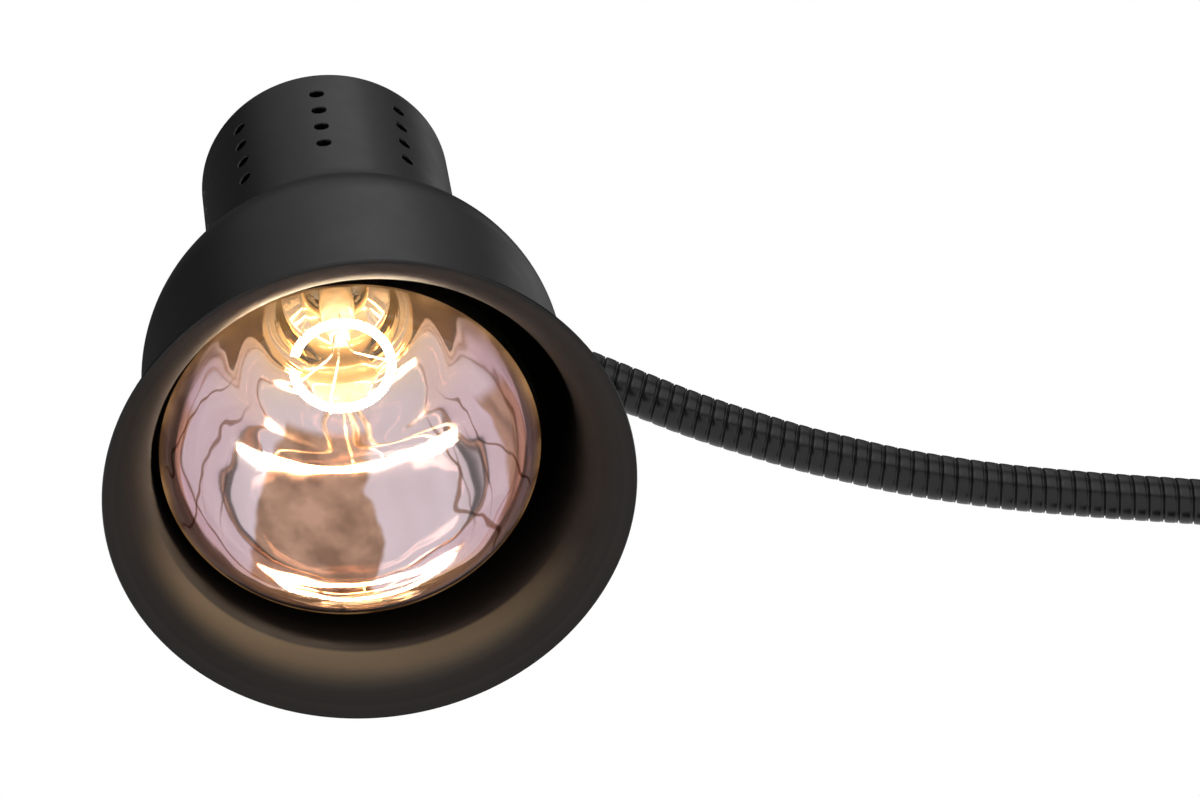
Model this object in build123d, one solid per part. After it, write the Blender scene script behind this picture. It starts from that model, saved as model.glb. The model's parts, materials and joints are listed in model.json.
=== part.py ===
from build123d import *
from math import cos, radians, sin
import os

# Heat lamp warmer: a bell shade with an infrared reflector bulb on a flexible neck,
# carried by a post on a heavy round base.
# Millimetres, +Z up. The origin is the centre of the base's underside.
# The head points forward (-Y) and down, to the left (-X) of the post.

os.makedirs("parts", exist_ok=True)

# ---------------------------------------------------------------- driving dimensions
FIT = 0.05          # radial play of a piece in its own hole, same body
GAP = 0.3           # play between curved faces of pieces that move apart

# head: axis Z runs from the rim plane towards the neck top
HEAD_RIM_CENTRE = (-393.7, -299.5, 444.8)
HEAD_TILT = 45.0    # from vertical
HEAD_HEADING = 99.4  # azimuth in which the neck end of the shade leans
RIM_R = 86.5
LIP_SWEEP = 65.0    # the lip is an arc that leaves the body upright and turns out this far
BODY_R = 70.9
BODY_H = 76.8       # the shoulder starts here
SHOULDER_R = 51.0   # arc from the body to the slope
SLOPE = 29.5        # lean of the slope between shoulder and cove
COVE_R = 31.0       # arc from the slope to the neck
NECK_R = 44.1
SHADE_H = 217.0
NECK_EDGE_R = 3.0
SHADE_WALL = 1.0
LIP_R = (RIM_R - BODY_R) / (1 - cos(radians(LIP_SWEEP)))
LIP_H = (LIP_R + SHADE_WALL) * sin(radians(LIP_SWEEP))
SLOPE_DROP = (SHOULDER_R + COVE_R) * (1 - cos(radians(SLOPE)))
SLOPE_L = (BODY_R - NECK_R - SLOPE_DROP) / sin(radians(SLOPE))
NECK_FOOT_H = BODY_H + (SHOULDER_R + COVE_R) * sin(radians(SLOPE)) + SLOPE_L * cos(radians(SLOPE))
VENT_R = 2.6
VENT_COLUMNS = 9
VENT_PHASE = 9.6
VENT_ROWS = 4
VENT_ROW_PITCH = 12.4
VENT_FIRST_H = 163.1

# bulb, in the head frame; lamp and holder share a line that leans a little from the bracket
BULB_R = 63.2
BULB_SHOULDER_H = 32.4
DOME_RISE = 28.0
DOME_FULLNESS = 0.58  # handle length of the dome's curve; 0.55 would be an ellipse
BULB_FLANK_BEND = (44.0, 78.0)  # handle of the flank's curve before its waist
BULB_WAIST = (37.5, 91.5)
BULB_TAIL_BEND = (31.5, 104.0)
BULB_NECK_R = 21.5
BULB_NECK_H = 126.0
GLASS_WALL = 0.9
CAP_R = 13.0
CAP_H0 = 138.0
CAP_H1 = 160.0
CAP_TIP_H = 164.0
CAP_THREAD_PITCH = 3.63
CAP_THREAD_R = 1.2
CAP_THREADS = 5
LAMP_LEAN = 1.4     # degrees, towards the head's left
FILAMENT_H = 84.0
FILAMENT_R = 16.5
STEM_H = 104.0
WIRE_R = 0.4        # the filament's supports

# lamp holder and the strap that carries it
STRAP_T = 1.8
STRAP_DROP = 26.0   # from the plate under the shade's top down to the ears
STRAP_W = 14.0
HOLDER_SCREW_X = 16.0
HOLDER_PIN_Y = 8.0
HOLDER_R = 20.0
HOLDER_MOUTH = 137.0
HOLDER_TOP = SHADE_H - SHADE_WALL - STRAP_DROP - 0.6

# fittings shared by both ends of the flexible neck
ROD_R = 5.0         # threaded nipples
ROD_BORE_R = 3.6
FERRULE_R = 11.5
FERRULE_L = 22.0
SOCKET_DEPTH = 12.0

# flexible neck
HOSE_R = 8.7
HOSE_BORE_R = 5.2
LEAD_WAY_R = 2.0
BALL_R = 6.3
CUP_R = BALL_R + GAP
BEAD_R = 9.4
CUP_LIP = 3.0
STUB_R = 3.4
STUB_L = 8.5
NECK_START_H = 228.5  # in the head frame, inside the head ferrule
NECK_FIRST_CORNER_H = 294.5
# further corners of the neck's centreline, on to the post, and all the bend radii
NECK_CORNERS = [
    (-413.6, -19.8, 598.6),
    (-281.8, -9.5, 547.3),
    (-243.5, -7.5, 535.8),
    (-205.3, -5.5, 527.1),
    (-167.0, -4.0, 521.6),
    (-128.8, -3.0, 518.4),
    (0.0, 0.0, 510.5),
    (0.0, 0.0, 420.1),
]
NECK_BENDS = [60.0, 62.0, 350.0, 330.0, 350.0, 500.0, 900.0, 84.0]
PIVOT_SPACING = 100.0
FIRST_PIVOT = 58.0
PIVOTS = 6

# post
POST_R = 12.7
POST_WALL = 1.5
POST_FOOT = 44.0
POST_TOP = 408.0
CAP_TOP = 410.0

# base
BASE_R = 140.0
BASE_TOP = 40.0
BASE_SKIN = 1.4
BASE_EDGE_R = 8.0
PAD_R = 137.0
PAD_T = 3.0
PLATE_T = 1.5
BALLAST_R = 134.0
BALLAST_Z0 = PAD_T + PLATE_T
BALLAST_T = 15.0
BALLAST_TOP = BALLAST_Z0 + BALLAST_T
NUT_WELL_R = 15.0
NUT_WELL_TOP = 15.5
SCREW_CIRCLE_R = 112.0
SCREWS = 4
CHANNEL_END = 45.0  # where the lead channel under the ballast turns up

# rocker switch, on the top of the base near the front
SWITCH_Y = -95.0
SWITCH_L = 19.4
SWITCH_W = 13.0
BEZEL_L = 23.0
BEZEL_W = 16.4
ROCKER_L = 15.4
ROCKER_W = 9.6
ROCKER_PIVOT_Z = 37.0
ROCKER_SWING = 20.0

# cord inlet, at the back of the base
INLET_Z = 26.0
INLET_BORE_R = 3.7
GLAND_R = 6.0

GLAND_FLANGE_R = 9.5
GLAND_FLANGE_T = 3.0
GLAND_DOME_H = 10.0

# terminals and leads
TERMINAL_Y = 82.0
TERMINAL_PITCH = 11.0
TERMINAL_LIFT = 5.5  # axis of the barrels above the ballast
GROUND_X = 40.0
GROUND_Y = 70.0
LEAD_R = 1.2
LEAD_SIDE = 1.6     # half the distance between the two leads in a bore

HEAD = Pos(*HEAD_RIM_CENTRE) * Rot(Z=HEAD_HEADING) * Rot(Y=HEAD_TILT)
LAMP = HEAD * Pos(0, 0, SHADE_H) * Rot(X=LAMP_LEAN) * Pos(0, 0, -SHADE_H)


# ---------------------------------------------------------------- helpers
def save(shape, node):
    export_step(shape, f"parts/{node}.step")


def rod(radius, z0, z1):
    return Pos(0, 0, (z0 + z1) / 2) * Cylinder(radius, z1 - z0)


def tube(outer, inner, z0, z1):
    return rod(outer, z0, z1) - rod(inner, z0 - 1, z1 + 1)


def block(length, width, z0, z1):
    return Pos(0, 0, (z0 + z1) / 2) * Box(length, width, z1 - z0)


def hex_nut(flats, hole, z0, z1):
    prism = extrude(RegularPolygon(flats / 2, 6, major_radius=False), z1 - z0)
    return Pos(0, 0, z0) * prism - rod(hole, z0 - 1, z1 + 1)


def lathe(line):
    """Turn a closed outline in the XZ plane about Z."""
    return revolve(make_face(line), Axis.Z)


def ring_of(shape, count, phase=0.0):
    return [Rot(Z=phase + 360 * i / count) * shape for i in range(count)]


def pan_screw(shank_r, length, head_r, head_h):
    """A screw standing on its head at z = 0 with its shank pointing up."""
    body = rod(head_r, 0, head_h) + rod(shank_r, head_h, head_h + length)
    body = chamfer(body.edges().group_by(Axis.Z)[0], 0.4)
    return body - Box(2 * head_r + 1, 0.8, 1.2)


def wire(points, radii, radius=LEAD_R):
    """An insulated lead along straight runs joined by tangent arcs."""
    path = FilletPolyline(*points, radius=radii)
    section = Plane(origin=path @ 0, z_dir=path % 0) * Circle(radius)
    return sweep(section, path=path)


# ---------------------------------------------------------------- shade
def shade_outline(inset):
    """Half outline of the shade, from the rim to the neck top, moved in by `inset`."""
    lip = CenterArc((BODY_R + LIP_R, LIP_H), LIP_R + inset, 180 + LIP_SWEEP, -LIP_SWEEP)
    body = Line(lip @ 1, (BODY_R - inset, BODY_H))
    shoulder = CenterArc((BODY_R - SHOULDER_R, BODY_H), SHOULDER_R - inset, 0, SLOPE)
    cove = CenterArc((NECK_R + COVE_R, NECK_FOOT_H), COVE_R + inset, 180 + SLOPE, -SLOPE)
    slope = Line(shoulder @ 1, cove @ 0)
    neck = Line(cove @ 1, (NECK_R - inset, SHADE_H - NECK_EDGE_R))
    edge = TangentArc(neck @ 1, (NECK_R - NECK_EDGE_R, SHADE_H - inset), tangent=(0, 1))
    return [lip, body, shoulder, slope, cove, neck, edge]


def shade():
    """A spun bell with an even wall: the outline, the same outline one wall in, and their ends."""
    outer = shade_outline(0.0)
    inner = shade_outline(SHADE_WALL)
    rim = Line(inner[0] @ 0, outer[0] @ 0)
    roof = Polyline(outer[-1] @ 1, (0, SHADE_H), (0, SHADE_H - SHADE_WALL), inner[-1] @ 1)
    bell = lathe(Plane.XZ * (Curve() + outer + inner + [rim, roof]))
    bell -= rod(ROD_R + FIT, SHADE_H - 4, SHADE_H + 1)
    vent = Rot(Y=90) * Pos(0, 0, NECK_R) * Cylinder(VENT_R, 12)
    for row in range(VENT_ROWS):
        height = VENT_FIRST_H + row * VENT_ROW_PITCH
        for hole in ring_of(Pos(0, 0, height) * vent, VENT_COLUMNS, VENT_PHASE):
            bell -= hole
    return bell


# ---------------------------------------------------------------- head fittings
def head_fittings():
    under = SHADE_H - SHADE_WALL
    washer = tube(15.0, ROD_R + FIT, SHADE_H, SHADE_H + 1.4)
    save(HEAD * washer, "head_dress_washer")
    save(HEAD * ferrule(SHADE_H + 1.4), "head_ferrule")
    nipple = tube(ROD_R, ROD_BORE_R, under - 12, SHADE_H + 1.4 + 9)
    save(HEAD * nipple, "head_nipple")
    save(HEAD * bracket(under), "holder_bracket")
    save(HEAD * lock_washer(under - 3.0), "head_lock_washer")
    save(HEAD * hex_nut(15.0, ROD_R + FIT, under - 8.0, under - 3.0), "head_locknut")
    bush = tube(5.8, ROD_BORE_R, under - 15.0, under - 12.0)
    save(HEAD * bush, "head_wire_bushing")


def ferrule(z0):
    """Turned end fitting: threaded on the nipple below, a socket for the neck above."""
    body = rod(FERRULE_R, z0, z0 + FERRULE_L)
    body = chamfer(body.edges().group_by(Axis.Z)[-1], 1.2)
    body -= rod(ROD_R + FIT, z0 - 1, z0 + FERRULE_L)
    body -= rod(HOSE_R + FIT, z0 + FERRULE_L - SOCKET_DEPTH, z0 + FERRULE_L + 1)
    flute = Pos(FERRULE_R + 0.9, 0, z0 + 5.0) * Cylinder(1.4, 7.0)
    for cut in ring_of(flute, 18):
        body -= cut
    return body


def lock_washer(z0):
    washer = tube(9.0, ROD_R + FIT, z0, z0 + 1.2)
    tooth = Pos(9.2, 0, z0 + 0.6) * Box(2.0, 1.2, 2.0)
    for cut in ring_of(tooth, 12):
        washer -= cut
    return washer


def bracket(top):
    """Bridge strap: a plate under the shade's top, two legs and two ears for the holder."""
    half = 22.0
    plate = block(2 * half, STRAP_W, top - STRAP_T, top)
    leg = Pos(half - STRAP_T / 2, 0, 0) * block(STRAP_T, STRAP_W, top - STRAP_DROP, top)
    ear = Pos(half - 5.0, 0, 0) * block(10.0, STRAP_W, top - STRAP_DROP, top - STRAP_DROP + STRAP_T)
    strap = plate + leg + ear + Rot(Z=180) * leg + Rot(Z=180) * ear
    strap -= rod(ROD_R + FIT, top - 5, top + 1)
    for hole in ring_of(Pos(HOLDER_SCREW_X, 0, top - STRAP_DROP) * Cylinder(2.8, 12), 2):
        strap -= hole
    return strap


def lamp_holder():
    body = rod(HOLDER_R, HOLDER_MOUTH, HOLDER_TOP)
    body += rod(HOLDER_R + 2, HOLDER_MOUTH + 14, HOLDER_MOUTH + 20)
    body = fillet(body.edges().group_by(Axis.Z)[0], 1.5)
    body -= rod(CAP_R + 1.2, HOLDER_MOUTH - 1, CAP_TIP_H + 6.0)
    for hole in ring_of(Pos(HOLDER_SCREW_X, 0, HOLDER_TOP) * Cylinder(1.9, 16), 2):
        body -= hole
    for hole in ring_of(Pos(0, HOLDER_PIN_Y, HOLDER_TOP) * Cylinder(1.6, 14), 2):
        body -= hole
    return body


def holder_parts():
    save(LAMP * lamp_holder(), "lamp_holder")
    shell = tube(CAP_R + 1.1, CAP_R + 0.4, HOLDER_MOUTH + 3, CAP_TIP_H + 2)
    save(LAMP * shell, "holder_screw_shell")
    roof = CAP_TIP_H + 6.0
    tongue = rod(5.0, roof - 1.0, roof) + Pos(0, 0, roof - 2.5) * Cylinder(2.5, 3.4)
    save(LAMP * tongue, "holder_contact")
    screw = Rot(X=180) * pan_screw(1.8, 9.0, 3.4, 2.2)
    ear_top = SHADE_H - SHADE_WALL - STRAP_DROP + STRAP_T
    screws = ring_of(Pos(HOLDER_SCREW_X, 0, ear_top + 2.4) * screw, 2)
    save(LAMP * Compound(children=screws), "holder_screws")
    post = rod(1.5, HOLDER_TOP - 6, HOLDER_TOP + 3)
    head = hex_nut(5.5, 1.5, HOLDER_TOP, HOLDER_TOP + 2)
    pins = [Pos(0, y, 0) * (post + head) for y in (HOLDER_PIN_Y, -HOLDER_PIN_Y)]
    save(LAMP * Compound(children=pins), "holder_terminals")


def head_leads():
    """Live and neutral leads from the neck fitting down to the holder's terminals."""
    for side, node in ((1, "head_live_lead"), (-1, "head_neutral_lead")):
        path = [
            (0, side * LEAD_SIDE, SHADE_H + 9.0),
            (0, side * LEAD_SIDE, SHADE_H - 18.0),
            (1.2, side * 6.6, SHADE_H - 21.0),
            (0, side * HOLDER_PIN_Y, HOLDER_TOP + 4.5),
        ]
        save(HEAD * wire(path, [4.0, 3.0]), node)


# ---------------------------------------------------------------- bulb
def bulb_outline(inset):
    """Half outline of the bulb from the front of its dome to its neck."""
    shoulder = BULB_R - inset
    front = BULB_SHOULDER_H - DOME_RISE + inset
    dome = Bezier((0, front), (DOME_FULLNESS * shoulder, front),
                  (shoulder, BULB_SHOULDER_H - DOME_FULLNESS * (DOME_RISE - inset)),
                  (shoulder, BULB_SHOULDER_H))
    bend, waist, tail_bend = [(r - inset, h) for r, h in (BULB_FLANK_BEND, BULB_WAIST, BULB_TAIL_BEND)]
    neck_r = BULB_NECK_R - inset
    flank = Bezier(dome @ 1, (shoulder, 52.0), bend, waist)
    tail = Bezier(waist, tail_bend, (neck_r, 112.0), (neck_r, BULB_NECK_H))
    stem = Line(tail @ 1, (neck_r - 1.5, CAP_H0 - 6.5))
    collar = Line(stem @ 1, (CAP_R - 1.8 - inset, CAP_H0 - 1.6))
    return [dome, flank, tail, stem, collar]


def bulb_solid(inset, end_h):
    line = bulb_outline(inset)
    throat = Line(line[-1] @ 1, (CAP_R - 1.8 - inset, end_h))
    lid = Line(throat @ 1, (0, end_h))
    core = Line((0, end_h), line[0] @ 0)
    return lathe(Plane.XZ * (Curve() + line + [throat, lid, core]))


def bulb_cap():
    """Screw cap: a thin shell with rolled rings for its thread."""
    cap = rod(CAP_R - 0.7, CAP_H0, CAP_H1)
    for i in range(CAP_THREADS):
        ring = Torus(CAP_R - CAP_THREAD_R, CAP_THREAD_R)
        cap += Pos(0, 0, CAP_H0 + 4.2 + i * CAP_THREAD_PITCH) * ring
    cone = Pos(0, 0, CAP_H1 + 1.0) * Cone(CAP_R - 0.7, 9.0, 2.0)
    return cap + cone - rod(CAP_R - 1.4, CAP_H0 - 1, CAP_H1 - 0.5) - rod(6.6, CAP_H1 - 1, CAP_H1 + 3)


def bulb_parts():
    glass = bulb_solid(0.0, CAP_H0 + 8) - bulb_solid(GLASS_WALL, CAP_H0 + 9)
    save(LAMP * glass, "bulb_glass")
    save(LAMP * bulb_cap(), "bulb_cap")
    insulator = rod(6.5, CAP_H1 - 2, CAP_H1 + 2.6)
    save(LAMP * insulator, "bulb_cap_insulator")
    tip = rod(4.2, CAP_H1 + 2.6, CAP_TIP_H)
    tip = fillet(tip.edges().group_by(Axis.Z)[-1], 0.9)
    save(LAMP * tip, "bulb_contact_tip")
    stem = rod(6.0, STEM_H + 12, CAP_H0 + 4)
    stem += Pos(0, 0, STEM_H + 6) * Cone(3.0, 6.0, 12)
    stem += Pos(0, 0, STEM_H) * Sphere(3.6)
    for groove in filament_wires(WIRE_R + FIT):
        stem -= groove
    save(LAMP * stem, "bulb_stem")
    save(LAMP * Compound(children=filament_wires(WIRE_R)), "filament_supports")
    save(LAMP * filament(), "filament")


def filament():
    """The coil's envelope: most of a ring of coiled wire."""
    ring = Torus(FILAMENT_R, 1.1, major_angle=285)
    return Pos(0, 0, FILAMENT_H) * Rot(Z=127.5) * ring


def filament_wires(radius):
    """Two lead-in wires and three hooks from the stem to the coil."""
    wires = []
    foot = 2.2
    reach = FILAMENT_R + 1.6
    for angle in (127.5, 52.5, 172.0, 270.0, 8.0):
        path = [(foot, 0, STEM_H - 1.0), (foot + 1.5, 0, STEM_H - 10.0), (reach, 0, FILAMENT_H + 5.0),
                (reach, 0, FILAMENT_H - 2.0)]
        wires.append(Rot(Z=angle) * wire(path, [4.0, 4.0], radius))
    return wires


# ---------------------------------------------------------------- flexible neck
NECK_ROUTE = [(HEAD * Pos(0, 0, h)).position for h in (NECK_START_H, NECK_FIRST_CORNER_H)]
NECK = FilletPolyline(*NECK_ROUTE, *NECK_CORNERS, radius=NECK_BENDS)
NECK_LENGTH = NECK.length


def neck_stretch(start, end):
    """The part of the centreline between two lengths along it."""
    return NECK.trim(start / NECK_LENGTH, end / NECK_LENGTH)


def hose(radius, start, end):
    path = neck_stretch(start, end)
    section = Plane(origin=path @ 0, z_dir=path % 0) * Circle(radius)
    return sweep(section, path=path)


def pivot_plane(s):
    t = s / NECK_LENGTH
    return Plane(origin=NECK @ t, z_dir=NECK % t)


def neck_link(start, end, has_ball, has_cup):
    """A stretch of the neck: a ball on a stub at its head end and a cup at its post end.

    `start` and `end` are lengths along the centreline, at the pivots where there are any.
    """
    body_start = start + STUB_L if has_ball else start
    link = hose(HOSE_R, body_start, end)
    bore_end = end - 9.0 if has_cup else end
    if has_cup:
        link += pivot_plane(end).location * Sphere(BEAD_R)
    link -= hose(HOSE_BORE_R, body_start + 5.0 if has_ball else start, bore_end)
    link -= hose(LEAD_WAY_R, body_start, end)
    if has_cup:
        cup = pivot_plane(end).location
        link -= cup * Sphere(CUP_R)
        link -= cup * rod(BEAD_R + 5, CUP_LIP, 20)
    if has_ball:
        ball = pivot_plane(start).location
        knob = Sphere(BALL_R) + rod(STUB_R, 0, STUB_L + 2.5)
        link += ball * knob
        link -= ball * rod(LEAD_WAY_R, -BALL_R - 1, STUB_L + 6)
    return link


def neck_links():
    stops = [0.0] + [FIRST_PIVOT + PIVOT_SPACING * i for i in range(PIVOTS)] + [NECK_LENGTH]
    for i in range(PIVOTS + 1):
        link = neck_link(stops[i], stops[i + 1], i > 0, i < PIVOTS)
        save(link, f"gooseneck_{i}")
    for s in stops:
        place = pivot_plane(s)
        print("pivot", round(s, 2), place.origin, place.z_dir)


# ---------------------------------------------------------------- post
def post_parts():
    save(tube(POST_R, POST_R - POST_WALL, POST_FOOT, POST_TOP), "post_tube")
    cap = rod(POST_R - POST_WALL - FIT, POST_TOP - 12, POST_TOP) + rod(POST_R, POST_TOP, CAP_TOP)
    save(cap - rod(ROD_R + FIT, POST_TOP - 13, CAP_TOP + 1), "post_top_plug")
    save(tube(ROD_R, ROD_BORE_R, POST_TOP - 12, CAP_TOP + 9), "post_top_nipple")
    save(ferrule(CAP_TOP), "post_ferrule")
    plug = tube(POST_R - POST_WALL - FIT, ROD_R + FIT, POST_FOOT, POST_FOOT + 14)
    save(plug, "post_foot_plug")
    collar = rod(22.0, BASE_TOP, BASE_TOP + 14)
    collar = fillet(collar.edges().group_by(Axis.Z)[-1], 4.0)
    collar -= rod(POST_R + FIT, POST_FOOT, BASE_TOP + 15)
    save(collar - rod(ROD_R + FIT, BASE_TOP - 1, POST_FOOT + 1), "post_foot_collar")
    save(tube(ROD_R, ROD_BORE_R, NUT_WELL_TOP - 7.3, POST_FOOT + 15), "post_foot_nipple")
    save(tube(9.0, ROD_R + FIT, BALLAST_TOP, BASE_TOP - BASE_SKIN), "post_spacer")
    save(tube(12.0, ROD_R + FIT, NUT_WELL_TOP - 1.6, NUT_WELL_TOP), "post_washer")
    save(hex_nut(16.0, ROD_R + FIT, NUT_WELL_TOP - 6.6, NUT_WELL_TOP - 1.6), "post_locknut")


# ---------------------------------------------------------------- base
def base_cover():
    shell = rod(BASE_R, PAD_T, BASE_TOP)
    shell = fillet(shell.edges().group_by(Axis.Z)[-1], BASE_EDGE_R)
    hollow = rod(BASE_R - BASE_SKIN, PAD_T - 1, BASE_TOP - BASE_SKIN)
    hollow = fillet(hollow.edges().group_by(Axis.Z)[-1], BASE_EDGE_R - BASE_SKIN)
    shell -= hollow
    shell -= rod(ROD_R + FIT, BASE_TOP - 5, BASE_TOP + 1)
    shell -= Pos(0, SWITCH_Y, 0) * block(SWITCH_L + 0.2, SWITCH_W + 0.2, BASE_TOP - 5, BASE_TOP + 1)
    return shell - inlet_axis() * rod(GLAND_R + FIT, -6, 6)


def inlet_axis():
    """Z along the cord inlet, pointing out of the back of the base, zero at its wall."""
    return Pos(0, BASE_R, INLET_Z) * Rot(X=-90)


def ballast_plate():
    plate = rod(BALLAST_R, BALLAST_Z0, BALLAST_TOP)
    plate = chamfer(plate.edges().group_by(Axis.Z)[-1], 2.0)
    plate -= rod(ROD_R + FIT, 0, 30)
    plate -= rod(NUT_WELL_R, BALLAST_Z0 - 1, NUT_WELL_TOP)
    plate -= Pos(0, CHANNEL_END / 2, 0) * block(9.0, CHANNEL_END, BALLAST_Z0 - 1, 11.5)
    plate -= Pos(0, CHANNEL_END, 0) * rod(5.5, 0, 30)
    for hole in ring_of(Pos(SCREW_CIRCLE_R, 0, 0) * rod(2.05, BALLAST_Z0 - 1, 13), SCREWS, 45):
        plate -= hole
    return plate - Pos(GROUND_X, GROUND_Y, 0) * rod(2.0, 10, 30)


def base_parts():
    pad = rod(PAD_R, 0, PAD_T)
    pad = chamfer(pad.edges().group_by(Axis.Z)[0], 0.6)
    for hole in ring_of(Pos(SCREW_CIRCLE_R, 0, 0) * rod(6.0, -1, PAD_T + 1), SCREWS, 45):
        pad -= hole
    save(pad, "base_pad")
    plate = rod(PAD_R + 0.6, PAD_T, BALLAST_Z0)
    for hole in ring_of(Pos(SCREW_CIRCLE_R, 0, 0) * rod(2.2, 0, 6), SCREWS, 45):
        plate -= hole
    save(plate, "base_bottom_plate")
    screw = Pos(SCREW_CIRCLE_R, 0, PAD_T - 2.2) * pan_screw(2.0, 8.0, 4.0, 2.2)
    save(Compound(children=ring_of(screw, SCREWS, 45)), "base_screws")
    save(base_cover(), "base_cover")
    save(ballast_plate(), "ballast_plate")


# ---------------------------------------------------------------- switch
def switch_parts():
    at = Pos(0, SWITCH_Y, 0)
    body = block(SWITCH_L, SWITCH_W, 24.0, BASE_TOP + 0.1)
    bezel = block(BEZEL_L, BEZEL_W, BASE_TOP, BASE_TOP + 2.2)
    bezel = fillet(bezel.edges().filter_by(Axis.Z), 1.5)
    bezel = chamfer(bezel.edges().group_by(Axis.Z)[-1], 0.5)
    well = block(ROCKER_L + 2.0, ROCKER_W + 0.8, 29.5, BASE_TOP + 3)
    body = body + bezel - well
    pin = Pos(0, 0, ROCKER_PIVOT_Z) * Rot(X=90) * Cylinder(1.2, ROCKER_W + 0.9)
    save(at * (body + pin), "switch_body")
    save(at * Pos(0, 0, ROCKER_PIVOT_Z) * Rot(Y=-ROCKER_SWING / 2) * rocker(), "switch_rocker")
    blade = block(4.8, 0.8, BALLAST_TOP + 0.5, 24.0)
    blades = [at * Pos(x, 0, 0) * blade for x in (-6.0, 6.0)]
    save(Compound(children=blades), "switch_terminals")


def rocker():
    """Paddle with two sloping faces that meet over its pivot pin; zero at the pin."""
    half = ROCKER_L / 2
    line = Polyline((-half, 4.4), (0, 3.2), (half, 4.4), (half - 1.2, -0.5), (2.2, -4.0),
                    (-2.2, -4.0), (-half + 1.2, -0.5), close=True)
    face = make_face(Plane.XZ * line)
    paddle = extrude(face, ROCKER_W / 2, both=True)
    paddle = fillet(paddle.edges().filter_by(Axis.Y).group_by(Axis.Z)[-1], 0.6)
    return paddle - Rot(X=90) * Cylinder(1.25, ROCKER_W + 1)


# ---------------------------------------------------------------- wiring in the base
def inlet_parts():
    """Cord gland through the base's wall, with its nut inside."""
    inside = -BASE_SKIN - 0.9
    gland = rod(GLAND_R, inside - 6.0, 0) + rod(GLAND_FLANGE_R, 0, GLAND_FLANGE_T)
    dome = Pos(0, 0, GLAND_FLANGE_T + GLAND_DOME_H / 2) * Cone(8.6, GLAND_R, GLAND_DOME_H)
    gland = gland + dome - rod(INLET_BORE_R, -20, 20)
    save(inlet_axis() * gland, "cord_gland")
    nut = hex_nut(15.5, GLAND_R + FIT, inside - 4.0, inside)
    save(inlet_axis() * nut, "cord_gland_nut")


def terminal_parts():
    """Three-way terminal strip on the ballast, with a brass barrel and a screw in each way."""
    ways = [Pos(x, TERMINAL_Y, 0) for x in (-TERMINAL_PITCH, 0, TERMINAL_PITCH)]
    lift = Pos(0, 0, BALLAST_TOP + TERMINAL_LIFT)
    strip = Pos(0, TERMINAL_Y, 0) * block(34.0, 16.0, BALLAST_TOP, BALLAST_TOP + 13)
    for way in ways:
        strip -= way * lift * Rot(X=90) * Cylinder(2.5, 20)
        strip -= way * rod(2.2, BALLAST_TOP + 6, BALLAST_TOP + 15)
    save(strip, "terminal_strip")
    barrel = Rot(X=90) * Cylinder(2.45, 13) - Rot(X=90) * Cylinder(1.5, 15)
    save(Compound(children=[way * lift * barrel for way in ways]), "terminal_barrels")
    screw = Pos(0, 0, BALLAST_TOP + 13.4) * Rot(X=180) * pan_screw(1.0, 2.2, 2.1, 3.0)
    save(Compound(children=[way * screw for way in ways]), "terminal_screws")


def ground_parts():
    at = Pos(GROUND_X, GROUND_Y, 0)
    save(at * rod(1.95, BALLAST_TOP - 6, BALLAST_TOP + 12), "ground_stud")
    tag = tube(4.5, 2.0, BALLAST_TOP, BALLAST_TOP + 0.8)
    tag += Pos(-6.5, 0, BALLAST_TOP + 0.4) * Box(7.0, 3.0, 0.8) - rod(4.4, 0, 40)
    save(at * tag, "ground_ring_terminal")
    save(at * hex_nut(7.0, 2.0, BALLAST_TOP + 0.8, BALLAST_TOP + 4.0), "ground_nut")


def base_leads():
    """The two leads up the post, and the two leads between the terminals and the switch."""
    lift = BALLAST_TOP + TERMINAL_LIFT
    front = TERMINAL_Y - 8.2
    up = POST_TOP + 10.0
    low = BALLAST_Z0 + LEAD_R + 0.5
    for side, node in ((-1, "post_live_lead"), (1, "post_neutral_lead")):
        x = side * LEAD_SIDE
        way = side * TERMINAL_PITCH
        path = [(way, front, lift), (way, front - 9.0, lift), (x, CHANNEL_END, lift),
                (x, CHANNEL_END, low), (x, 0.0, low), (x, 0.0, up)]
        save(wire(path, [4.0, 4.0, 5.0, 3.0]), node)
    z = BALLAST_TOP + LEAD_R + 0.5
    for side, node in ((-1, "switch_feed_lead"), (1, "switch_return_lead")):
        x = side * 6.0
        path = [(x, SWITCH_Y + 0.5 + LEAD_R, z), (x, SWITCH_Y + 18, z), (side * 30.0, -40.0, z + 1),
                (side * 30.0, 40.0, z + 1), (side * 22.0, front - 6.0, z), (side * 22.0, front + 8.0, z)]
        save(wire(path, [9.0, 30.0, 20.0, 6.0]), node)


def main():
    save(HEAD * shade(), "shade")
    head_fittings()
    holder_parts()
    head_leads()
    bulb_parts()
    neck_links()
    post_parts()
    base_parts()
    switch_parts()
    inlet_parts()
    terminal_parts()
    ground_parts()
    base_leads()


main()
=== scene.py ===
import json
from math import cos, pi, radians, sin, tan
import bpy
import numpy as np
from mathutils import Matrix, Vector


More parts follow.
